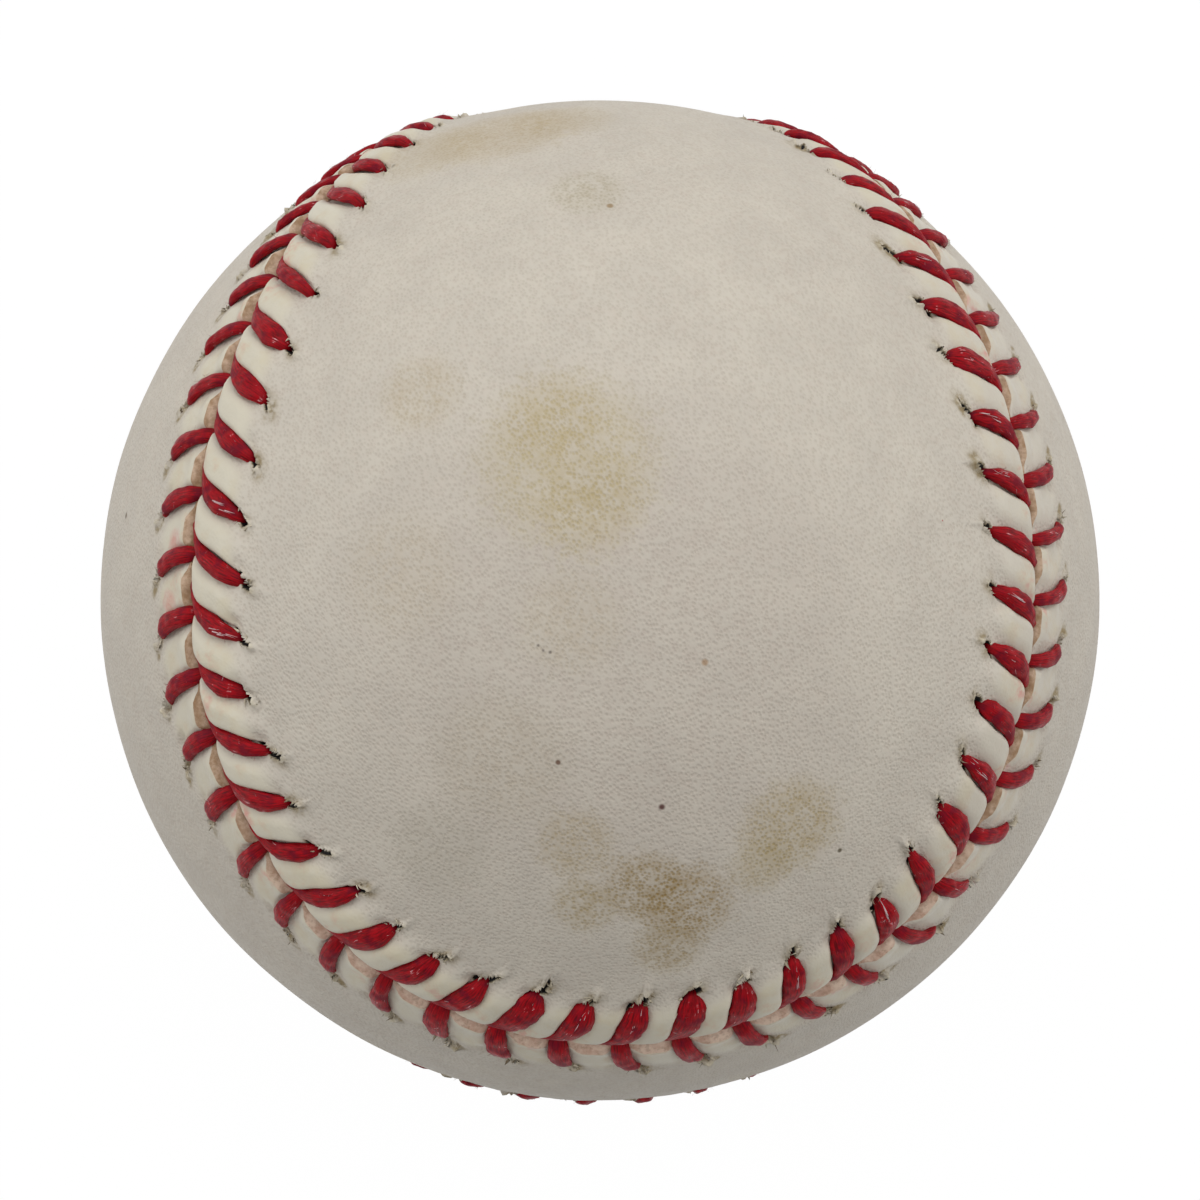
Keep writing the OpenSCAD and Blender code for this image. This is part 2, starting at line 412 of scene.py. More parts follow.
def panel_points(panel):
    """Rows of points over the raised edge, round the leather's cut and back underneath."""
    side = panel.side
    even, bunched = column_positions()
    count = len(bunched)
    rows = []

    def place(k, w, height):
        share = hole_share(k, side) + advance(side, w, k) / STITCHES
        return seam_point(share, side * w, height)

    def add(k, w, height, at_hole=None, raw=0.0):
        """Adds a row of points with the numbers that the leather's material reads."""
        lobe = panel.lobe(k, w) * (1 - smooth(2.8, 4.9, w))
        pit_and_painted_shade, rim, soil = np.zeros((3, count)) if at_hole is None else at_hole
        # Panel B's holes are filled by the thread, so they get hardly any of the painted shade that
        # darkens a hole's inside
        dark = pit_and_painted_shade if side == SIDE_A else 0.1 * pit_and_painted_shade
        values = np.stack([dark, rim, soil, lobe, np.full(count, raw), w], -1)
        rows.append((place(k, w, height), values))

    for k, w in top_rows(panel, even, bunched):
        height = panel.height(k, w)
        pit_and_painted_shade, rim, soil = panel.hole(k, w)
        at = place(k, w, height)
        wrinkle = 0.04 * panel.fine(at) * (1 - smooth(6, LIFT_FROM, w))
        tear = 0.13 * panel.torn(at) * np.clip(rim * 1.2, 0, 1)
        rim_height = rim * panel.rim_height[np.round(k).astype(int) % STITCHES]
        top = height + rim_height + wrinkle + tear + panel.skin(at)
        add(k, w, top - PIT_DEPTH * pit_and_painted_shade, (pit_and_painted_shade, rim, soil))

    w_edge = panel.edge_w(bunched)
    radius = panel.edge_radius(bunched)
    brink = panel.height(bunched, w_edge + radius) - 0.04
    under = np.full(count, UNDERSIDE)
    if side == SIDE_A:
        # A rounded edge, raw from where it faces the seam
        for turn in np.radians([22, 45, 68, 90, 112, 135]):
            w = w_edge + radius * (1 - np.sin(turn))
            height = np.maximum(brink - radius * (1 - np.cos(turn)), under + 0.02)
            add(bunched, w, height, raw=float(turn > 1.4))
        add(bunched, w_edge + 0.25, under, raw=1.0)
    else:
        # A sloping cut that shows its fibres
        for t in (0.08, 0.25, 0.43, 0.62, 0.81, 1):
            w = (w_edge + radius) * (1 - t) + 0.14 * t
            fibre = 0.14 + 0.08 * panel.torn(seam_point(bunched / STITCHES, w, brink))
            add(bunched, w, brink * (1 - t) + under * t + fibre * np.sin(pi * t), raw=1.0)
        add(bunched, w_edge + 0.3, under, raw=1.0)
    for w, height in ((2.5, UNDERSIDE), (LIFT_FROM, LINING_R - BALL_R)):
        mix = smooth(2.5, LIFT_FROM, np.full(count, w))
        k = bunched * (1 - mix) + even * mix
        add(k, np.full(count, w), np.full(count, height), raw=1.0)
    return rows


def fill_middle(rim, radius_of, segments, outwards):
    """Points and faces that fill a loop with arcs across it. The loop starts at a tip."""
    count = len(rim)
    half = count // 2
    left = unit(rim[1:half])
    right = unit(rim[: half : -1])
    angle = np.arccos(np.clip((left * right).sum(-1), -1, 1))[:, None, None]
    angle = np.maximum(angle, 1e-6)
    t = np.linspace(0, 1, segments + 1)[1:-1][None, :, None]
    from_left = np.sin((1 - t) * angle) * left[:, None]
    from_right = np.sin(t * angle) * right[:, None]
    inner = unit((from_left + from_right) / np.sin(angle))
    inner = inner * radius_of(inner)[..., None]
    grid = np.empty((half - 1, segments + 1), int)
    grid[:, 0] = np.arange(1, half)
    grid[:, -1] = count - np.arange(1, half)
    grid[:, 1:-1] = count + np.arange((half - 1) * (segments - 1)).reshape(half - 1, segments - 1)
    quads = np.stack([grid[:-1, :-1], grid[1:, :-1], grid[1:, 1:], grid[:-1, 1:]], -1)
    faces = quads.reshape(-1, 4).tolist()
    faces += [(0, int(grid[0, i]), int(grid[0, i + 1])) for i in range(segments)]
    faces += [(half, int(grid[-1, i + 1]), int(grid[-1, i])) for i in range(segments)]
    if not outwards:
        faces = [tuple(reversed(f)) for f in faces]
    return inner.reshape(-1, 3), faces


def joining_faces(row, kept, loop, outwards):
    """Triangles between a row of columns and a loop of points with only the kept columns in it."""
    faces = []
    for c, column in enumerate(kept):
        here = row + column
        between = row + (column + 1) % COLUMNS
        there = row + kept[(c + 1) % len(kept)]
        a = loop + c
        b = loop + (c + 1) % len(kept)
        for triangle in ((here, between, a), (between, b, a), (between, there, b)):
            corners = triangle if outwards else reversed(triangle)
            faces.append(tuple(int(i) for i in corners))
    return faces


def leather_panel(side, material):
    """A panel with its raised edge, filled outside and inside by arcs across its middle."""
    panel = Panel(side)
    rows = panel_points(panel)
    points = [np.concatenate([r[0] for r in rows])]
    values = [np.concatenate([r[1] for r in rows])]
    faces = ring_quads(len(rows), COLUMNS)
    if side == SIDE_B:
        faces = faces[:, ::-1]
    faces = faces.tolist()
    # Every second column carries on into the middle of the panel
    tip = round(TIP[side] * STITCHES * COLUMNS_PER_STITCH)
    kept = (tip + 2 * np.arange(COLUMNS // 2)) % COLUMNS
    share = hole_share(kept / COLUMNS_PER_STITCH, side)
    far_in = np.full(len(kept), LIFT_FROM + 0.5)
    total = len(points[0])
    for first_row, segments, is_top in ((0, 38, True), (len(rows) - 1, 6, False)):
        outwards = is_top == (side == SIDE_A)
        radius_of = panel.top_radius if is_top else panel.lining_radius
        rim = unit(seam_point(share, side * far_in, far_in * 0))
        rim = rim * radius_of(rim)[..., None]
        faces += joining_faces(first_row * COLUMNS, kept, total, outwards)
        inner, inner_faces = fill_middle(rim, radius_of, segments, outwards)
        faces += [tuple(total + i for i in f) for f in inner_faces]
        inner = np.concatenate([rim, inner])
        points.append(inner)
        blank = np.zeros((len(inner), len(LEATHER_VALUES)))
        blank[:, LEATHER_VALUES.index("raw")] = 0.0 if is_top else 1.0
        blank[:, LEATHER_VALUES.index("seam_w")] = LIFT_FROM + 1
        values.append(blank)
        total += len(inner)
    values = np.concatenate(values)
    piece = new_object("leather_panel_" + PANEL_NAME[side], np.concatenate(points), faces, material)
    for column, name in enumerate(LEATHER_VALUES):
        add_values(piece, name, values[:, column])
    return piece, panel


# The thread

# The path of a stitch of each side, from one crossing under the leather to the next:
# how far ahead of the leather's own line (in stitches), distance from the seam on its own side,
# height over the ball, lean of the thread's face from outwards (degrees), half width and half
# thickness
STITCH_PATH = {
    SIDE_A: [
        (-0.51, 2.40, -0.83, 180, 0.33, 0.33),
        (-0.08, 3.88, -0.80, 150, 0.33, 0.33),
        (0.0, 4.18, -0.38, 90, 0.36, 0.30),
        (0.01, 4.06, 0.04, 50, 0.49, 0.32),
        (0.015, 3.60, 0.35, 15, 0.70, 0.36),
        (0.01, 2.95, 0.48, 2, 0.84, 0.38),
        (0.015, 2.28, 0.52, 0, 0.88, 0.38),
        (0.02, 1.62, 0.50, -3, 0.80, 0.37),
        (0.025, 0.95, 0.38, -8, 0.66, 0.35),
        (0.015, 0.38, 0.18, -16, 0.54, 0.33),
        (-0.06, -0.04, 0.02, -22, 0.42, 0.30),
        (0.10, -0.22, -0.26, -16, 0.34, 0.29),
        (0.25, -0.42, -0.76, 0, 0.33, 0.33),
    ],
    SIDE_B: [
        (-0.42, 0.90, -0.83, 180, 0.33, 0.33),
        (-0.165, 3.65, -0.80, 150, 0.33, 0.33),
        (-0.035, 4.00, -0.38, 90, 0.36, 0.30),
        (-0.015, 3.94, 0.00, 55, 0.48, 0.32),
        (-0.01, 3.62, 0.25, 18, 0.64, 0.34),
        (-0.01, 3.10, 0.34, 5, 0.71, 0.34),
        (-0.01, 2.45, 0.38, 0, 0.72, 0.34),
        (-0.005, 1.75, 0.38, -3, 0.70, 0.34),
        (0.01, 1.00, 0.30, -10, 0.66, 0.33),
        (0.03, 0.40, 0.06, -40, 0.56, 0.31),
        (0.04, 0.05, -0.36, -80, 0.42, 0.30),
        (0.07, -0.50, -0.76, -25, 0.34, 0.33),
        (0.30, -2.40, -0.83, 0, 0.33, 0.33),
    ],
}


def spline(knots, table, at):
    """Each column of a table read along a smooth curve through its rows."""
    slopes = np.gradient(table, knots, axis=0)
    i = np.clip(np.searchsorted(knots, at, side="right") - 1, 0, len(knots) - 2)
    gap = (knots[i + 1] - knots[i])[:, None]
    t = (at - knots[i])[:, None] / gap
    leaving = table[i] * (1 + 2 * t) * (1 - t) ** 2 + slopes[i] * gap * t * (1 - t) ** 2
    arriving = table[i + 1] * t**2 * (3 - 2 * t) - slopes[i + 1] * gap * t**2 * (1 - t)
    return leaving + arriving


def worn_path(side, k, width_change, blunt, drift, lift):
    """The path of stitch k, with the ball's wear and the stitch's own differences."""
    table = np.array(STITCH_PATH[side], float)
    ahead, w, height, _, half_width, _ = table.T
    shown = smooth(-0.3, 0.2, height)
    w += REACH[side][k] * smooth(2.0, 3.8, w)
    ahead += advance(side, w, k)
    if side == SIDE_A:
        # Under panel B the stitch is back where a new ball has it
        ahead -= worn(WEAR_SLANT, k) * smooth(0.05, 0.5, -w)
    w += drift * shown * (w > 1)
    height += lift * shown
    width = width_at(side, k) - 1 + width_change + 0.35 * blunt * smooth(2.0, 4.0, w)
    half_width *= 1 + shown * width
    return table


def stitch_rings(side, k, table):
    """The rings along a stitch: their centres, the ways they face, their half sizes, their side."""
    steps = np.linalg.norm(np.diff(table[:, :3] * [PITCH, 1, 1], axis=0), axis=1)
    knots = np.concatenate([[0], np.cumsum(steps)])
    at = np.linspace(0, knots[-1], RINGS_PER_STITCH + 1)[:-1]
    ring = spline(knots, table, at)
    ahead, w, height, lean = ring[:, :4].T
    anchor = hole_share(np.full(len(at), float(k)), side)
    next_anchor = hole_share(np.full(len(at), k + 1.0), -side)
    # A stitch ends where the next one, on the other side, begins
    swing = (next_anchor - anchor - 1 / STITCHES) * smooth(0.45, 0.9, ahead)
    share = anchor + ahead / STITCHES + swing
    outward, along, across = directions(share)
    lean = np.radians(lean)[:, None]
    roll = (0.2 if side == SIDE_A else 0.1) * smooth(0, 0.3, height)[:, None]
    face = np.cos(lean) * outward + np.sin(lean) * side * across + roll * along
    return seam_point(share, side * w, height), face, ring[:, 4:], np.full(len(at), side)


def thread_strand(first_side, name, material):
    """One strand. It changes sides at every stitch, like the lace of a shoe."""
    width_change = per_stitch(0.07)
    blunt = np.clip(per_stitch(0.6), -0.4, 1)
    drift = per_stitch(0.06)
    lift = per_stitch(0.03)
    rings = []
    for k in range(STITCHES):
        side = first_side if k % 2 == 0 else -first_side
        table = worn_path(side, k, width_change[k], blunt[k], drift[k], lift[k])
        rings.append(stitch_rings(side, k, table))
    centre, face, size, sides = (np.concatenate(part) for part in zip(*rings))
    heading = unit(np.roll(centre, -1, 0) - np.roll(centre, 1, 0))
    wide = unit(np.cross(heading, face))
    deep = np.cross(wide, heading)
    run = np.cumsum(np.linalg.norm(np.diff(centre, axis=0, prepend=centre[:1]), axis=1))
    # The face flips where the strand changes sides, and half a turn keeps the rings in line
    turn = np.linspace(0, 2 * pi, THREAD_SIDES, endpoint=False)[None, :]
    turn = turn + np.where(sides == SIDE_A, 0, pi)[:, None]
    groove = 1 - 0.12 * np.abs(np.sin(PLIES * (turn + run[:, None] * PLY_TWIST) / 2)) ** 3
    rough_edge = waves(1.1, 16)
    lumps = waves(0.7, 16)
    half_width = size[:, :1] * (1 + 0.07 * rough_edge(centre)[:, None])
    points = (
        centre[:, None]
        + (half_width * np.cos(turn) * groove)[..., None] * wide[:, None]
        + (size[:, 1:] * np.sin(turn) * groove)[..., None] * deep[:, None]
    )
    points = points + (0.03 * lumps(points))[..., None] * unit(points)
    count = len(centre)
    last_ring = (count - 1) * THREAD_SIDES
    faces = ring_quads(count, THREAD_SIDES).tolist()
    faces.append(list(range(THREAD_SIDES))[::-1])
    faces.append([last_ring + i for i in range(THREAD_SIDES)])
    flat = points.reshape(-1, 3)
    piece = new_object(name, flat, faces, material)
    add_values(piece, "run", np.repeat(run, THREAD_SIDES))
    add_values(piece, "turn", np.tile(np.arange(THREAD_SIDES) / THREAD_SIDES, count))
    # Each point's height over the ball, which the thread's material reads for its painted shade
    add_values(piece, "painted_shade_height", np.linalg.norm(flat, axis=1) - BALL_R)
    return piece


# Torn leather and loose thread


def fibres(name, roots, ways, lengths, widths, shades, curls, material):
    """Short curling slivers that taper to a point. Each starts at a root and goes its way."""
    count = len(roots)
    sides = unit(np.cross(ways, unit(roots)) + rng.normal(0, 0.15, (count, 3)))
    curl = rng.normal(0, 1, (count, 3)) * curls[:, None]
    up = unit(np.cross(sides, ways))
    steps = np.linspace(0, 1, 4)
    rings = []
    for t in steps:
        middle = roots + lengths[:, None] * (t * ways + 0.5 * t * t * curl)
        half = (widths * (1 - 0.9 * t**1.5) / 2)[:, None]
        corners = [middle - half * sides, middle + half * sides, middle + 0.5 * half * up]
        rings.append(np.stack(corners, 1))
    points = np.stack(rings, 1).reshape(-1, 3)
    points_each = 3 * len(steps)
    faces = []
    for base in range(0, len(points), points_each):
        tip = base + points_each - 3
        for ring in range(base, tip, 3):
            for a, b in ((0, 1), (1, 2), (2, 0)):
                faces.append((ring + a, ring + b, ring + b + 3, ring + a + 3))
        faces.append((base + 2, base + 1, base))
        faces.append((tip, tip + 1, tip + 2))
    piece = new_object(name, points, faces, material)
    add_values(piece, "shade", np.repeat(shades, points_each))
    return piece


def at_holes(panels, each):
    """Roots of slivers round every stitch hole, a way for each that leans off the ball, and how
    torn the leather is there."""
    roots = []
    ways = []
    tears = []
    for side, panel in panels.items():
        k = np.repeat(np.arange(STITCHES), each)
        turn = rng.uniform(-0.5, pi + 0.5, len(k))
        x = panel.hole_ahead[k] + 1.1 * panel.hole_width[k] * np.cos(turn)
        y = 1.1 * panel.hole_length[k] * np.sin(turn)
        w = panel.hole_w[k] + y
        share = hole_share(k, side) + advance(side, w, k) / STITCHES
        share = share + (x - panel.hole_slant[k] * y) / (PITCH * STITCHES)
        roots.append(seam_point(share, side * w, 0.12 + 0.05 * rng.random(len(k))))
        outward, along, across = directions(share)
        away = 0.5 * np.stack([np.cos(turn), side * np.sin(turn)], -1)
        lean = rng.normal(0, 0.5, (len(k), 2)) + away
        ways.append(unit(0.3 * outward + lean[:, :1] * along + lean[:, 1:] * across))
        tears.append(worn(WEAR_TEAR, k))
    return np.concatenate(roots), np.concatenate(ways), np.concatenate(tears)


def at_stitches(each):
    """Roots of loose fibres over the shown part of every stitch, and a way for each."""
    roots = []
    ways = []
    for side in (SIDE_A, SIDE_B):
        table = np.array(STITCH_PATH[side][3:-4], float)
        k = np.repeat(np.arange(STITCHES), each)
        pick = rng.random(len(k)) * (len(table) - 1)
        rows = np.arange(len(table))
        ahead, w, height, half = (np.interp(pick, rows, table[:, c]) for c in (0, 1, 2, 4))
        edge = rng.choice([-1, 1], len(k)) * rng.uniform(0.3, 0.95, len(k))
        half = half * width_at(side, k)
        share = hole_share(k, side) + (ahead + advance(side, w, k)) / STITCHES
        share = share + edge * half / SEAM_LENGTH
        rise = height + 0.34 * np.sqrt(1 - edge**2)
        roots.append(seam_point(share, side * w, rise))
        outward, along, across = directions(share)
        lean = rng.normal(0, 0.7, (len(k), 2))
        way = 0.2 * outward + (edge[:, None] + lean[:, :1]) * along + lean[:, 1:] * across
        ways.append(unit(way))
    return np.concatenate(roots), np.concatenate(ways)


def frayed_streaks(share_frayed, each):
    """Roots of long white slivers along some of panel A's stitches, and a way for each."""
    frayed = np.nonzero(rng.random(STITCHES) < share_frayed)[0]
    k = np.repeat(frayed, each)
    table = np.array(STITCH_PATH[SIDE_A][2:8], float)
    w = rng.uniform(2.2, 3.4, len(k))
    height = np.interp(-w, -table[:, 1], table[:, 2])
    ahead = advance(SIDE_A, w, k) + rng.normal(0, 0.03, len(k))
    share = hole_share(k, SIDE_A) + ahead / STITCHES
    roots = seam_point(share, w, height + 0.36)
    outward, along, across = directions(share)
    # The stitch runs down into its hole, and the slivers with it
    steep = np.interp(w, [2.4, 3.4], [0.12, 0.5])[:, None]
    return roots, unit(across - steep * outward - 0.28 * along)


# Materials


class Nodes:
    """The nodes of a material or a world, with short ways to add to them."""

    def __init__(self, owner):
        owner.use_nodes = True
        self.owner = owner
        self.tree = owner.node_tree

    def add(self, kind, inputs=None, **settings):
        """A new shader node. Its inputs are links or plain values."""
        node = self.tree.nodes.new("ShaderNode" + kind)
        for name, value in settings.items():
            setattr(node, name, value)
        for name, value in (inputs or {}).items():
            self.put(node.inputs[name], value)
        return node

    def put(self, socket, value):
        """Links a socket to another one, or sets it to a plain value."""
        if isinstance(value, bpy.types.NodeSocket):
            self.tree.links.new(value, socket)
        else:
            socket.default_value = value

    def math(self, operation, a, b=0.0, clamp=False):
        node = self.add("Math", {0: a, 1: b}, operation=operation, use_clamp=clamp)
        return node.outputs[0]

    def times(self, a, b):
        return self.math("MULTIPLY", a, b)

    def multiply_add(self, value, factor, addend):
        inputs = {0: value, 1: factor, 2: addend}
        return self.add("Math", inputs, operation="MULTIPLY_ADD").outputs[0]

    def ramp(self, value, low, high, to_low=0.0, to_high=1.0):
        """A value carried from one range to another along an easy curve, and held at its ends."""
        inputs = {"Value": value, "From Min": low, "From Max": high, "To Min": to_low, "To Max": to_high}
        return self.add("MapRange", inputs, interpolation_type="SMOOTHSTEP").outputs[0]

    def mix(self, factor, a, b):
        """A blend of two colours, which are links or screen values from 0 to 255."""
        node = self.add("Mix", data_type="RGBA")
        self.put(node.inputs[0], factor)
        for socket, colour in ((6, a), (7, b)):
            self.put(node.inputs[socket], srgb(*colour) if isinstance(colour, tuple) else colour)
        return node.outputs[2]

    def place(self):
        """The point on the ball, in millimetres."""
        where = self.add("TexCoord").outputs["Object"]
        inputs = {0: where, "Scale": 1 / MM}
        return self.add("VectorMath", inputs, operation="SCALE").outputs[0]

    def distance(self, place, point):
        node = self.add("VectorMath", {0: place, 1: point}, operation="DISTANCE")
        return node.outputs["Value"]

    def noise(self, vector, scale, detail=3.0, roughness=0.5):
        inputs = {"Vector": vector, "Scale": scale, "Detail": detail, "Roughness": roughness}
        return self.add("TexNoise", inputs).outputs[0]

    def value(self, name):
        """A number that the mesh carries at each of its points."""
        return self.add("Attribute", attribute_name=name).outputs["Fac"]

    def bump(self, height, distance, strength=1.0):
        inputs = {"Height": height, "Distance": distance * MM, "Strength": strength}
        return self.add("Bump", inputs).outputs[0]

    def finish(self, **sockets):
        """Sets the sockets of a material's own shader, and returns the material."""
        shader = self.tree.nodes["Principled BSDF"]
        for name, value in sockets.items():
            self.put(shader.inputs[name.replace("_", " ")], value)
        return self.owner


def material_nodes(name):
    return Nodes(bpy.data.materials.new(name))


def srgb(r, g, b):
    """A colour from its 0 to 255 screen values."""
    c = np.array([r, g, b]) / 255
    linear = np.where(c <= 0.04045, c / 12.92, ((c + 0.055) / 1.055) ** 2.4)
    return (*linear.tolist(), 1.0)


# The photograph's view. Its frame is 1200 pixels wide and high.
VIEW_SIZE = 1200
BALL_PIXELS = 500
BALL_CENTRE_PIXEL = (600, 599.5)
VIEW_DISTANCE = 4.4327 * BALL_R
TO_CAMERA = Vector((-0.0441, -0.3423, 0.9385)).normalized()
VIEW_UP = Vector((-0.0027, 0.9395, 0.3426))


def camera_axes():
    right = VIEW_UP.cross(TO_CAMERA).normalized()
    return right, TO_CAMERA.cross(right)


def focal_pixels():
    """The focal length that makes the ball's outline BALL_PIXELS in radius."""
    return BALL_PIXELS * (VIEW_DISTANCE**2 - BALL_R**2) ** 0.5 / BALL_R


def ball_point(x, y):
    """The point of the smooth ball under a pixel of the photograph, in millimetres."""
    right, up = camera_axes()
    eye = TO_CAMERA * VIEW_DISTANCE
    aside = right * (x - BALL_CENTRE_PIXEL[0]) + up * (BALL_CENTRE_PIXEL[1] - y)
    ray = (aside - TO_CAMERA * focal_pixels()).normalized()
    b = ray.dot(eye)
    reach = -b - (b * b - VIEW_DISTANCE**2 + BALL_R**2) ** 0.5
    return eye + ray * reach


# Handling marks: pixel of the middle, radius in millimetres, screen colour, strength, unevenness
STAINS = (
    ((610, 640), 17.0, (186, 173, 162), 0.3, 0.4),
    ((567, 458), 5.8, (189, 173, 127), 0.5, 0.6),
    ((552, 420), 3.2, (180, 160, 114), 0.3, 0.6),
    ((590, 505), 3.4, (178, 158, 108), 0.32, 0.6),
    ((420, 392), 2.8, (186, 168, 134), 0.38, 0.6),
    ((400, 575), 4.0, (192, 178, 152), 0.3, 0.6),
    ((570, 620), 3.4, (192, 178, 150), 0.3, 0.6),
    ((645, 888), 2.8, (150, 124, 70), 0.6, 0.7),
    ((688, 905), 3.2, (150, 122, 66), 0.62, 0.7),
    ((585, 905), 2.2, (164, 142, 92), 0.5, 0.7),
    ((668, 948), 2.4, (156, 132, 80), 0.5, 0.7),
    ((575, 845), 2.6, (172, 152, 110), 0.45, 0.65),
    ((792, 826), 3.5, (168, 146, 94), 0.55, 0.6),
    ((762, 866), 2.2, (168, 148, 98), 0.4, 0.6),
    ((500, 760), 4.5, (182, 170, 146), 0.3, 0.5),
    ((440, 850), 3.5, (176, 168, 150), 0.3, 0.5),
    ((587, 190), 2.6, (164, 152, 118), 0.36, 0.7),
    ((179, 543), 1.0, (206, 104, 100), 0.6, 0.5),
    ((172, 604), 1.0, (206, 104, 100), 0.6, 0.5),
    ((500, 130), 5.5, (178, 154, 108), 0.45, 0.4),
    ((560, 118), 4.0, (178, 156, 112), 0.35, 0.4),
    ((430, 150), 4.5, (184, 164, 122), 0.35, 0.4),
)
# Small specks: pixel, radius in millimetres and screen colour
SPECKS = (
    ((558, 762), 0.17, (104, 74, 56)),
    ((662, 807), 0.22, (82, 34, 30)),
    ((840, 850), 0.17, (88, 78, 54)),
    ((705, 662), 0.22, (172, 144, 116)),
    ((610, 205), 0.24, (156, 132, 98)),
    ((395, 167), 0.22, (92, 84, 70)),
    ((125, 515), 0.25, (104, 88, 64)),
    ((538, 645), 0.12, (120, 112, 104)),
    ((543, 650), 0.12, (112, 104, 98)),
    ((550, 652), 0.13, (112, 104, 98)),
    ((943, 520), 0.07, (168, 72, 68)),
)


def marked(n, colour, place, mottle, pore):
    """A colour with the handling marks and the specks over it."""
    for pixel, radius, stain, strength, uneven in STAINS:
        ragged = n.times(n.math("SUBTRACT", mottle, 0.5), radius * 1.3)
        away = n.math("ADD", n.distance(place, ball_point(*pixel)), ragged)
        inside = n.ramp(away, radius * 0.6, radius * 1.15, 1.0, 0.0)
        grains = n.multiply_add(pore, uneven, n.ramp(mottle, 0.35, 0.7, 0.85 - uneven, 0.9))
        amount = n.math("MULTIPLY", n.times(inside, grains), strength, clamp=True)
        colour = n.mix(amount, colour, stain)
    for pixel, radius, speck in SPECKS:
        away = n.distance(place, ball_point(*pixel))
        colour = n.mix(n.ramp(away, radius * 0.5, radius * 1.3, 0.9, 0.0), colour, speck)
    return colour


def cut_leather(n, y, mottle, speckle):
    """The colour of cut leather, paler and pinker along the stretch with small y; the paleness is
    painted light on cuts that face the light.
    """
    patches = n.ramp(mottle, 0.32, 0.68)
    flesh = n.mix(patches, (158, 124, 90), (206, 178, 152))
    painted_lit_flesh = n.mix(patches, (202, 166, 146), (228, 204, 184))
    # Painted light: the cut is painted paler towards small y, where it faces the light
    flesh = n.mix(n.ramp(y, -30.0, -18.0, 0.9, 0.0), flesh, painted_lit_flesh)
    return n.mix(n.ramp(speckle, 0.48, 0.66, 0.0, 0.3), flesh, (132, 102, 74))


def leather_material():
    n = material_nodes("leather")
    place = n.place()
    pit_and_painted_shade, rim, soil, lobe, raw, seam_w = (n.value(name) for name in LEATHER_VALUES)
    x, y, z = n.add("SeparateXYZ", {0: place}).outputs
    cloud = n.noise(place, 0.3, 4.0, 0.62)
    mottle = n.noise(place, 1.2, 4.0, 0.66)
    speckle = n.noise(place, 3.4, 2.0, 0.6)

    # The grain's dots are longer one way than the other, and faint on the puckers
    lie = {"Vector": place, "Rotation": (0, 0, radians(118)), "Scale": (1.35, 1, 1)}
    grain_way = n.add("Mapping", lie, vector_type="TEXTURE")
    cells = {"Vector": grain_way.outputs[0], "Scale": 4.7, "Randomness": 0.85}
    dots = n.add("TexVoronoi", cells).outputs["Distance"]
    pore = n.times(n.ramp(dots, 0.08, 0.7, 1.0, 0.0), n.ramp(lobe, 0.1, 0.7, 1.0, 0.25))
    colour = n.mix(n.ramp(cloud, 0.3, 0.7), (205, 197, 184), (212, 204, 190))
    colour = n.mix(n.ramp(mottle, 0.45, 0.7, 0.0, 0.35), colour, (200, 187, 174))
    colour = n.mix(n.times(pore, 0.2), colour, (168, 152, 132))

    # The puckers are lighter than the rest, less so along the stretch with large x
    light = n.times(n.ramp(lobe, 0.0, 0.9), n.ramp(x, 10.0, 26.0, 0.85, 0.3))
    colour = n.mix(light, colour, (216, 209, 189))
    yellowed = n.times(n.ramp(cloud, 0.45, 0.62), n.ramp(lobe, 0.1, 0.8, 0.0, 0.3))
    colour = n.mix(yellowed, colour, (208, 194, 156))

    colour = marked(n, colour, place, mottle, pore)
    # The far half of the ball is handled as much as the near one, in its own places
    patches = n.ramp(n.noise(place, 0.07, 3.0, 0.6), 0.52, 0.62)
    handled = n.times(patches, n.ramp(z, -6.0, 4.0, 1.0, 0.0))
    handled = n.times(handled, n.ramp(pore, 0.0, 0.8, 0.25, 0.6))
    colour = n.mix(handled, colour, (182, 164, 122))

    # Soil and pale torn leather at the holes, and the thread's dye beside the seam
    dirt = n.times(n.ramp(soil, 0.08, 0.7), n.ramp(mottle, 0.36, 0.62, 0.15, 0.95))
    colour = n.mix(dirt, colour, (146, 128, 92))
    colour = n.mix(n.ramp(rim, 0.4, 1.0, 0.0, 0.6), colour, (222, 212, 188))
    dye = n.times(n.ramp(seam_w, 0.3, 3.6, 1.0, 0.0), n.ramp(cloud, 0.5, 0.75, 0.0, 0.8))
    dye = n.times(dye, n.ramp(mottle, 0.4, 0.65))
    colour = n.mix(dye, colour, (216, 132, 126))

    # Cut leather, and a hole's fibrous brink with the painted shade that darkens the hole's inside
    colour = n.mix(n.ramp(raw, 0.3, 0.7), colour, cut_leather(n, y, mottle, speckle))
    brink = n.mix(n.ramp(speckle, 0.35, 0.65), (128, 110, 80), (206, 194, 164))
    colour = n.mix(n.ramp(pit_and_painted_shade, 0.0, 0.12), colour, brink)
    # Painted shade: near black where a hole goes in
    colour = n.mix(n.ramp(pit_and_painted_shade, 0.05, 0.22), colour, (16, 11, 10))

    grain = n.multiply_add(pore, -0.8, n.times(speckle, 0.3))
    polish = n.ramp(lobe, 0.1, 0.7, 0.0, 0.14)
    return n.finish(
        Base_Color=colour,
        Roughness=n.math("SUBTRACT", n.ramp(mottle, 0.3, 0.7, 0.52, 0.62), polish),
        Normal=n.bump(grain, 0.04),
        Specular_IOR_Level=0.3,
    )


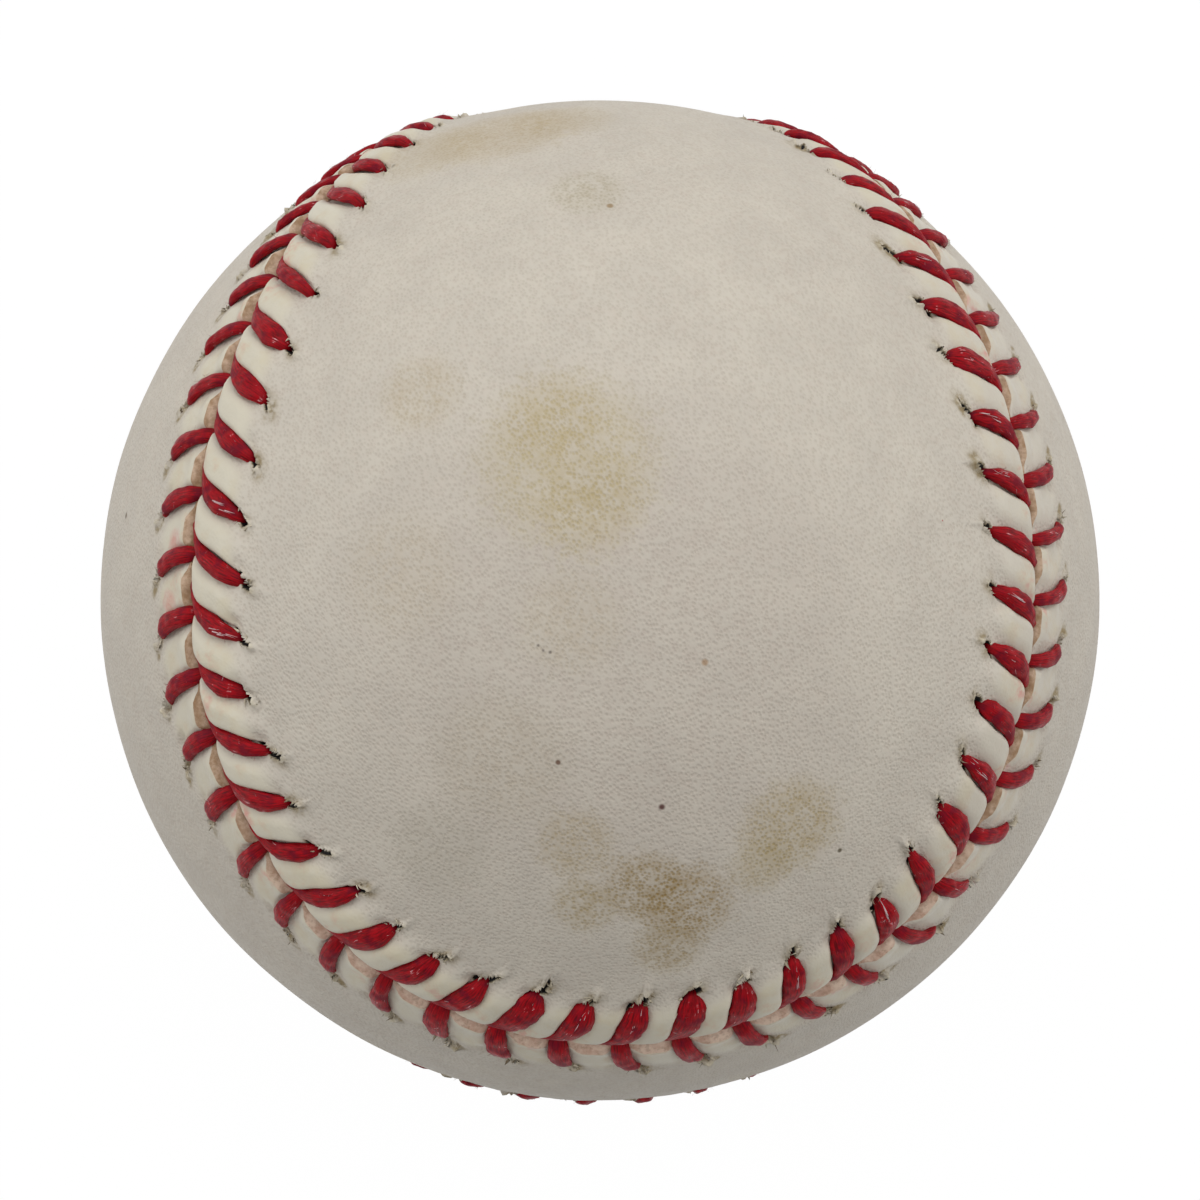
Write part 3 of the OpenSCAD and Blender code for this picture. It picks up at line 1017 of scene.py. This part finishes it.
def thread_material():
    """Red fibres along the thread, duller where the wax is thick, white in patches that stand partly for
    wax worn off and partly for painted highlight, and painted shade where it sinks into the leather.
    """
    n = material_nodes("waxed_thread")
    run = n.times(n.value("run"), 0.5)
    turn = n.times(n.value("turn"), 16.0)
    along = n.add("CombineXYZ", {0: run, 1: turn}).outputs[0]
    fibre = n.noise(along, 2.4, 4.0, 0.65)
    wax = n.noise(n.place(), 1.1, 3.0)
    colour = n.mix(n.ramp(fibre, 0.3, 0.65), (86, 1, 9), (176, 7, 24))
    colour = n.mix(n.ramp(wax, 0.48, 0.68, 0.0, 0.7), colour, (104, 8, 34))
    # White patches: partly wax worn off, partly painted highlight
    rubbed_and_highlight = n.times(n.ramp(wax, 0.29, 0.36, 1.0, 0.0), n.ramp(fibre, 0.54, 0.62))
    colour = n.mix(n.times(rubbed_and_highlight, 0.8), colour, (236, 196, 200))
    # Painted shade: the thread is painted dark where it sinks into the holes and under the leather
    colour = n.mix(n.ramp(n.value("painted_shade_height"), -0.5, 0.15, 0.75, 0.0), colour, (48, 4, 8))
    return n.finish(
        Base_Color=colour,
        Roughness=n.ramp(wax, 0.3, 0.7, 0.36, 0.55),
        Normal=n.bump(fibre, 0.05, 0.7),
        Specular_IOR_Level=0.12,
    )


def fibre_material(name, dark, light, roughness):
    """A plain fibre whose colour runs from dark to light by each fibre's own shade."""
    n = material_nodes(name)
    flecks = n.noise(n.place(), 5.0, 2.0)
    change = n.times(n.math("SUBTRACT", flecks, 0.5), 0.4)
    tone = n.math("ADD", n.value("shade"), change, clamp=True)
    colour = n.mix(tone, dark, light)
    return n.finish(Base_Color=colour, Roughness=roughness, Normal=n.bump(flecks, 0.02))


def yarn_material(name, light, dark, turns_per_mm):
    """Wound yarn: courses of fine ridges with soft colour changes."""
    n = material_nodes(name)
    place = n.place()
    bend = n.noise(place, 0.12, 2.0)
    courses = {"Vector": place, "Scale": turns_per_mm * 0.3, "Distortion": 6.0, "Detail": 2.0}
    ridge = n.add("TexWave", courses).outputs["Fac"]
    colour = n.mix(ridge, dark, light)
    colour = n.mix(n.ramp(bend, 0.3, 0.7, 0.0, 0.3), colour, dark)
    normal = n.bump(ridge, 0.2, 0.8)
    return n.finish(Base_Color=colour, Roughness=0.9, Normal=normal, Sheen_Weight=0.2)


def rubber_material(name, light, dark):
    n = material_nodes(name)
    cloud = n.noise(n.place(), 0.6, 5.0)
    colour = n.mix(n.ramp(cloud, 0.3, 0.7), dark, light)
    roughness = n.ramp(cloud, 0.3, 0.7, 0.5, 0.7)
    return n.finish(Base_Color=colour, Roughness=roughness, Normal=n.bump(cloud, 0.05, 0.5))


def cork_material():
    """Cork granules of different shades in a dark binder."""
    n = material_nodes("composition_cork")
    grains = n.add("TexVoronoi", {"Vector": n.place(), "Scale": 0.8})
    shade = n.add("SeparateColor", {0: grains.outputs["Color"]}).outputs[0]
    away = grains.outputs["Distance"]
    colour = n.mix(shade, (150, 104, 62), (206, 164, 112))
    colour = n.mix(n.ramp(away, 0.35, 0.6), colour, (84, 54, 34))
    return n.finish(Base_Color=colour, Roughness=0.85, Normal=n.bump(away, 0.2, 0.6))


def cement_material():
    n = material_nodes("dried_cement")
    smear = n.noise(n.place(), 0.35, 5.0, 0.6)
    colour = n.mix(n.ramp(smear, 0.35, 0.65), (150, 132, 96), (186, 172, 136))
    return n.finish(Base_Color=colour, Roughness=0.5, Normal=n.bump(smear, 0.1, 0.5))


def dress_core():
    """Gives the carried-over nodes under the leather materials of their own."""
    gray = yarn_material("gray_wool", (150, 149, 145), (104, 103, 100), 0.7)
    white = yarn_material("white_wool", (228, 222, 206), (186, 178, 160), 0.9)
    finish = yarn_material("finishing_yarn", (236, 232, 220), (200, 194, 178), 1.6)
    black = rubber_material("black_rubber", (40, 40, 43), (22, 22, 24))
    red = rubber_material("red_rubber", (168, 38, 32), (132, 26, 22))
    washer = rubber_material("red_washer_rubber", (190, 48, 40), (150, 34, 30))
    looks = {
        "cork_nucleus": cork_material(),
        "black_rubber_shell_upper": black,
        "black_rubber_shell_lower": black,
        "red_rubber_washer": washer,
        "red_rubber_layer": red,
        "winding_gray_inner": gray,
        "winding_white": white,
        "winding_gray_outer": gray,
        "winding_finish": finish,
        "cement_coat": cement_material(),
    }
    for node, material in looks.items():
        for slot in frame["nodes"][node].material_slots:
            slot.material = material


# The stage

# The room grows brighter towards +Y and +Z
ROOM_LEVEL = 0.54
ROOM_SLOPE = (0.0, 0.22, 0.3)
WHITE = (1, 1, 1, 1)
# How much of the floor's own shade is hidden from the camera and from reflections
FLOOR_GLOW = 0.82
# How far the floor goes each way
FLOOR_REACH = 6000


def white_to_camera(n, surface, share):
    """Shows plain white to the camera and to reflections, by a share, and the lit surface else."""
    path = n.add("LightPath")
    seen = path.outputs["Is Camera Ray"]
    for ray in ("Is Glossy Ray", "Is Transmission Ray"):
        seen = n.math("MAXIMUM", seen, path.outputs[ray])
    glow = n.add("Emission", {"Color": WHITE, "Strength": 1.2}).outputs[0]
    factor = n.times(seen, share)
    return n.add("MixShader", {0: factor, 1: surface, 2: glow}).outputs[0]


def floor():
    """A wide pale floor under the ball."""
    corners = ((-1, -1), (1, -1), (1, 1), (-1, 1))
    flat = [(FLOOR_REACH * x, FLOOR_REACH * y, -BALL_R) for x, y in corners]
    n = material_nodes("pale_floor")
    n.finish(Base_Color=(0.12, 0.12, 0.12, 1), Roughness=0.9, Specular_IOR_Level=0.0)
    lit = n.tree.nodes["Principled BSDF"].outputs[0]
    surface = n.tree.nodes["Material Output"].inputs["Surface"]
    n.put(surface, white_to_camera(n, lit, FLOOR_GLOW))
    plane = new_object("floor", flat, [(0, 1, 2, 3)], n.owner, smooth_faces=False)


def world():
    """A soft room that lights the ball from all round, and plain white behind it."""
    sky = bpy.data.worlds.new("soft_room")
    bpy.context.scene.world = sky
    n = Nodes(sky)
    way = n.add("TexCoord").outputs["Generated"]
    slope = n.add("VectorMath", {0: way, 1: ROOM_SLOPE}, operation="DOT_PRODUCT")
    level = n.multiply_add(slope.outputs["Value"], ROOM_LEVEL, ROOM_LEVEL)
    room = n.add("Background", {"Color": WHITE, "Strength": level}).outputs[0]
    behind = n.tree.nodes["Background"]
    n.put(behind.inputs["Color"], WHITE)
    n.put(behind.inputs["Strength"], 1.0)
    seen = n.add("LightPath").outputs["Is Camera Ray"]
    shown = n.add("MixShader", {0: seen, 1: room, 2: behind.outputs[0]}).outputs[0]
    n.put(n.tree.nodes["World Output"].inputs["Surface"], shown)


def lamp(name, place, size, energy):
    """A square soft light that faces the ball. Place and size are in metres."""
    light = bpy.data.lights.new(name, "AREA")
    light.size = size
    light.energy = energy
    lamp_object = bpy.data.objects.new(name, light)
    lamp_object.location = place
    lamp_object.rotation_euler = (-Vector(place)).to_track_quat("-Z", "Y").to_euler()
    bpy.context.scene.collection.objects.link(lamp_object)


def camera():
    """The photograph's own view of the ball."""
    right, up = camera_axes()
    lens = bpy.data.cameras.new("camera")
    lens.sensor_width = 36
    lens.lens = lens.sensor_width * focal_pixels() / VIEW_SIZE
    lens.clip_start = 0.01
    eye = bpy.data.objects.new("camera", lens)
    turn = Matrix((right, up, TO_CAMERA)).transposed().to_4x4()
    eye.matrix_world = Matrix.Translation(TO_CAMERA * VIEW_DISTANCE * MM) @ turn
    bpy.context.scene.collection.objects.link(eye)
    bpy.context.scene.camera = eye


camera()
leather = leather_material()
thread = thread_material()
panels = {}
for side in (SIDE_A, SIDE_B):
    piece, panels[side] = leather_panel(side, leather)
    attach(piece, "root")
    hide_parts("cover_panel_" + PANEL_NAME[side])
for side in (SIDE_A, SIDE_B):
    strand = thread_strand(side, "laced_thread_" + PANEL_NAME[side], thread)
    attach(strand, "root")
    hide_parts("thread_strand_" + PANEL_NAME[side])
roots, ways, tears = at_holes(panels, each=9)
count = len(roots)
torn_leather = fibres(
    "torn_leather",
    roots,
    ways,
    lengths=rng.uniform(0.1, 0.28, count) * tears,
    widths=rng.uniform(0.05, 0.2, count) * tears,
    shades=rng.random(count),
    curls=np.full(count, 0.8),
    material=fibre_material("torn_leather_edges", (104, 86, 58), (226, 216, 192), 0.8),
)
# Loose red fibres on every stitch, and long white streaks on some of panel A's
roots, ways = at_stitches(each=9)
streak_roots, streak_ways = frayed_streaks(share_frayed=0.4, each=5)
count = len(roots)
streaks = len(streak_roots)
lengths = [rng.uniform(0.12, 0.38, count), rng.uniform(0.6, 1.3, streaks)]
widths = [rng.uniform(0.02, 0.04, count), rng.uniform(0.04, 0.09, streaks)]
red_shades = rng.choice([0.0, 0.15, 0.3, 1.0], count, p=[0.42, 0.27, 0.24, 0.07])
white_shades = rng.uniform(0.6, 1, streaks)
thread_fuzz = fibres(
    "thread_fuzz",
    np.concatenate([roots, streak_roots]),
    np.concatenate([ways, streak_ways]),
    lengths=np.concatenate(lengths),
    widths=np.concatenate(widths),
    shades=np.concatenate([red_shades, white_shades]),
    curls=np.concatenate([np.full(count, 0.8), np.full(streaks, 0.12)]),
    material=fibre_material("loose_thread_fibres", (136, 4, 20), (240, 214, 216), 0.6),
)
for piece, slot in ((torn_leather, "cover_leather"), (thread_fuzz, "red_thread")):
    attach(piece, "root")
dress_core()
floor()
world()
lamp("key", (0.0, 0.45, 0.8), 0.6, 1.7)
lamp("left_fill", (-0.9, 0.1, 0.35), 0.6, 1.9)
lamp("right_fill", (0.9, 0.1, 0.35), 0.6, 1.9)
bpy.context.scene.view_settings.view_transform = "Standard"
